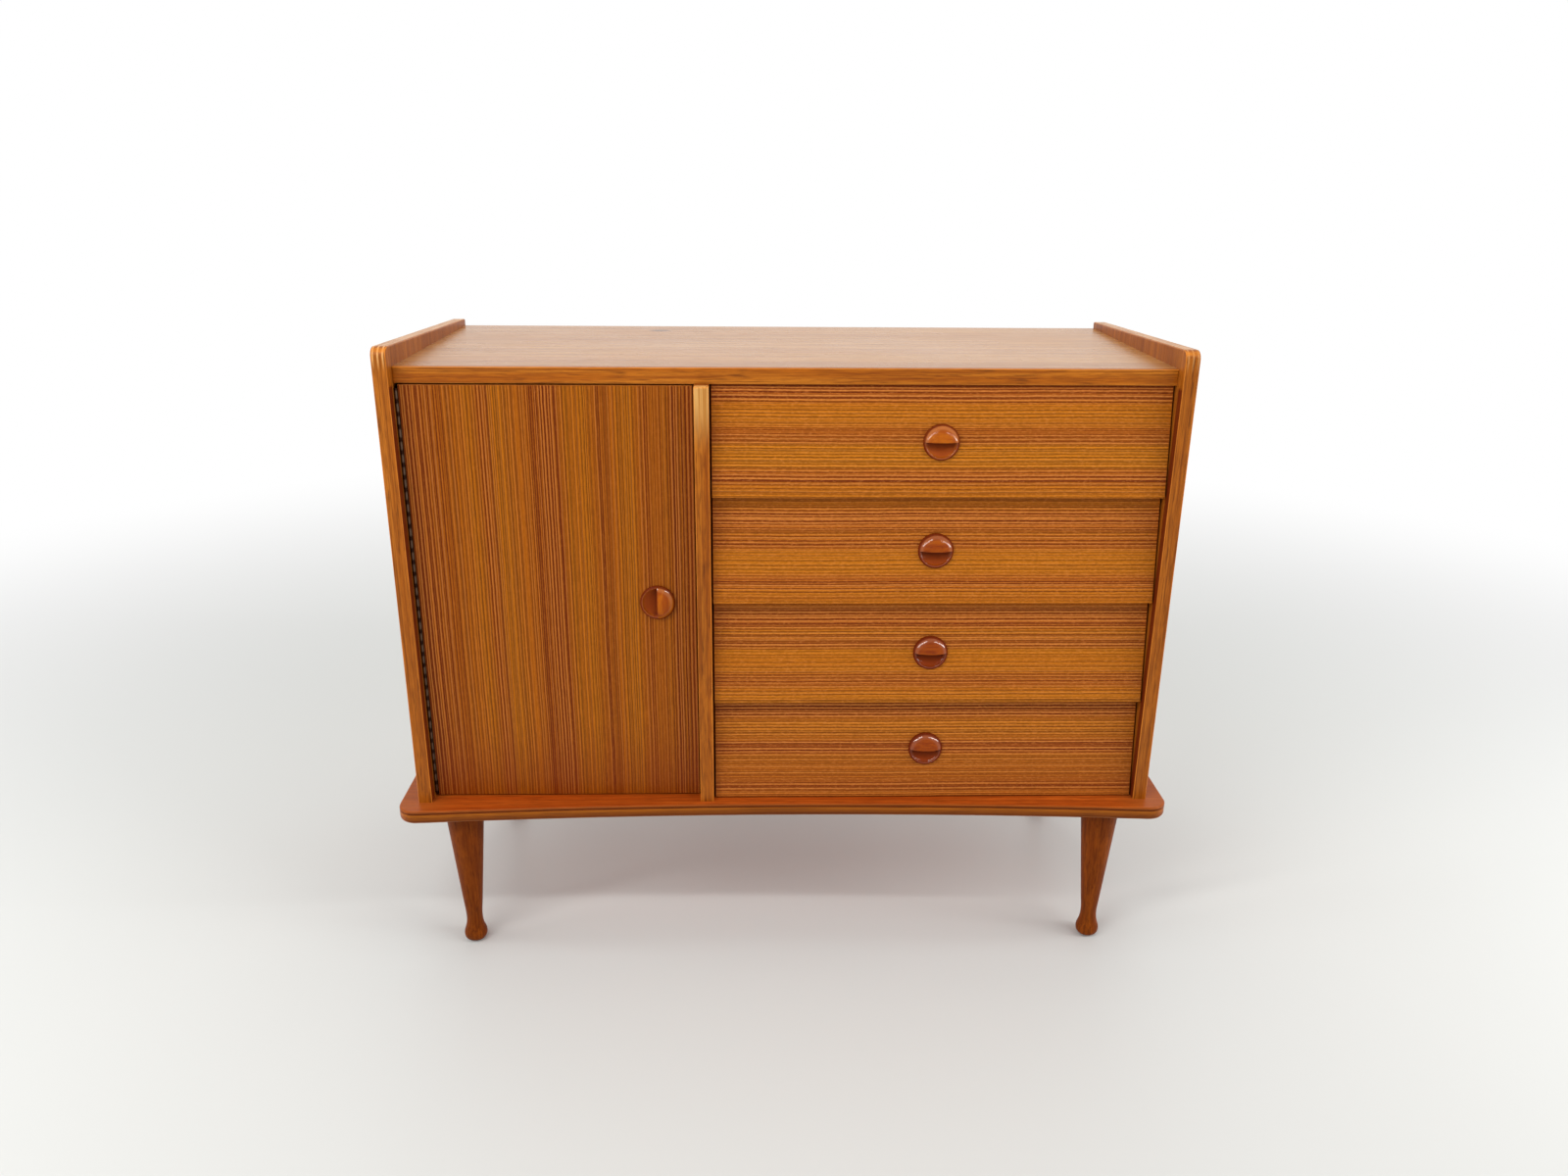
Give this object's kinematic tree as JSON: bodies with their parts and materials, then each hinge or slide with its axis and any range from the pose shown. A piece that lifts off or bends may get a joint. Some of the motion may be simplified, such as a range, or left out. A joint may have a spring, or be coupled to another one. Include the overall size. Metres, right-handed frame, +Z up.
{
  "type": "chest with a door and drawers",
  "caption": "Low teak chest on turned legs: a hinged cupboard door beside a bank of slanted drawers, striped veneer fronts, raised side panels and a platform base.",
  "frame": {"origin": "middle of the footprint, on the floor", "axes": "+X to the right seen from the front, +Y to the back, +Z up; the door and drawers face -Y"},
  "size_m": [1.051, 0.4351, 0.8475],
  "materials": {
    "striped_veneer": "striped veneer, satin lacquer",
    "teak_veneer": "teak veneer, satin lacquer",
    "teak_lipping": "solid teak, satin lacquer",
    "teak_platform": "teak, satin lacquer",
    "teak_turned": "turned teak, gloss lacquer",
    "teak_leg": "turned teak, satin lacquer",
    "beech": "planed, waxed",
    "plywood": "sanded plywood",
    "nickel": "nickel plate, aged",
    "steel": "zinc plate",
    "brass": "turned brass",
    "catch_plastic": "brown moulding"
  },
  "bodies": {
    "carcass": {"left_side_panel": "teak_veneer", "right_side_panel": "teak_veneer", "top_panel": "teak_veneer", "divider": "teak_veneer", "cupboard_shelf": "teak_veneer", "left_side_lipping": "teak_lipping", "right_side_lipping": "teak_lipping", "top_lipping": "teak_lipping", "divider_lipping": "teak_lipping", "door_stop_strip": "teak_lipping", "platform": "teak_platform", "front_left_leg": "teak_leg", "front_right_leg": "teak_leg", "rear_left_leg": "teak_leg", "rear_right_leg": "teak_leg", "left_runners": "beech", "right_runners": "beech", "drawer_stops": "beech", "base_dowels": "beech", "top_dowels": "beech", "back_panel": "plywood", "hinge_side_leaf": "nickel", "hinge_pin": "nickel", "hinge_side_screws": "nickel", "leg_studs": "steel", "leg_inserts": "steel", "leg_glides": "steel", "back_panel_screws": "steel", "shelf_pins": "brass", "door_catch": "catch_plastic"},
    "door": {"door_panel": "striped_veneer", "door_pull": "teak_turned", "hinge_door_leaf": "nickel", "hinge_door_screws": "nickel", "strike_plate": "steel"},
    "drawer_1": {"drawer_1_front": "striped_veneer", "drawer_1_pull": "teak_turned", "drawer_1_left_side": "beech", "drawer_1_right_side": "beech", "drawer_1_back": "beech", "drawer_1_floor": "plywood"},
    "drawer_2": {"drawer_2_front": "striped_veneer", "drawer_2_pull": "teak_turned", "drawer_2_left_side": "beech", "drawer_2_right_side": "beech", "drawer_2_back": "beech", "drawer_2_floor": "plywood"},
    "drawer_3": {"drawer_3_front": "striped_veneer", "drawer_3_pull": "teak_turned", "drawer_3_left_side": "beech", "drawer_3_right_side": "beech", "drawer_3_back": "beech", "drawer_3_floor": "plywood"},
    "drawer_4": {"drawer_4_front": "striped_veneer", "drawer_4_pull": "teak_turned", "drawer_4_left_side": "beech", "drawer_4_right_side": "beech", "drawer_4_back": "beech", "drawer_4_floor": "plywood"}
  },
  "joints": [
    {"name": "door_hinge", "type": "hinge", "parent": "carcass", "child": "door", "pos_m": [-0.4791, -0.17345, 0.51725], "axis": [0, 0, -1], "range_deg": [0, 90]},
    {"name": "drawer_1_slide", "type": "slide", "parent": "carcass", "child": "drawer_1", "axis": [0, -1, 0], "range_m": [0, 0.28]},
    {"name": "drawer_2_slide", "type": "slide", "parent": "carcass", "child": "drawer_2", "axis": [0, -1, 0], "range_m": [0, 0.28]},
    {"name": "drawer_3_slide", "type": "slide", "parent": "carcass", "child": "drawer_3", "axis": [0, -1, 0], "range_m": [0, 0.28]},
    {"name": "drawer_4_slide", "type": "slide", "parent": "carcass", "child": "drawer_4", "axis": [0, -1, 0], "range_m": [0, 0.28]}
  ]
}
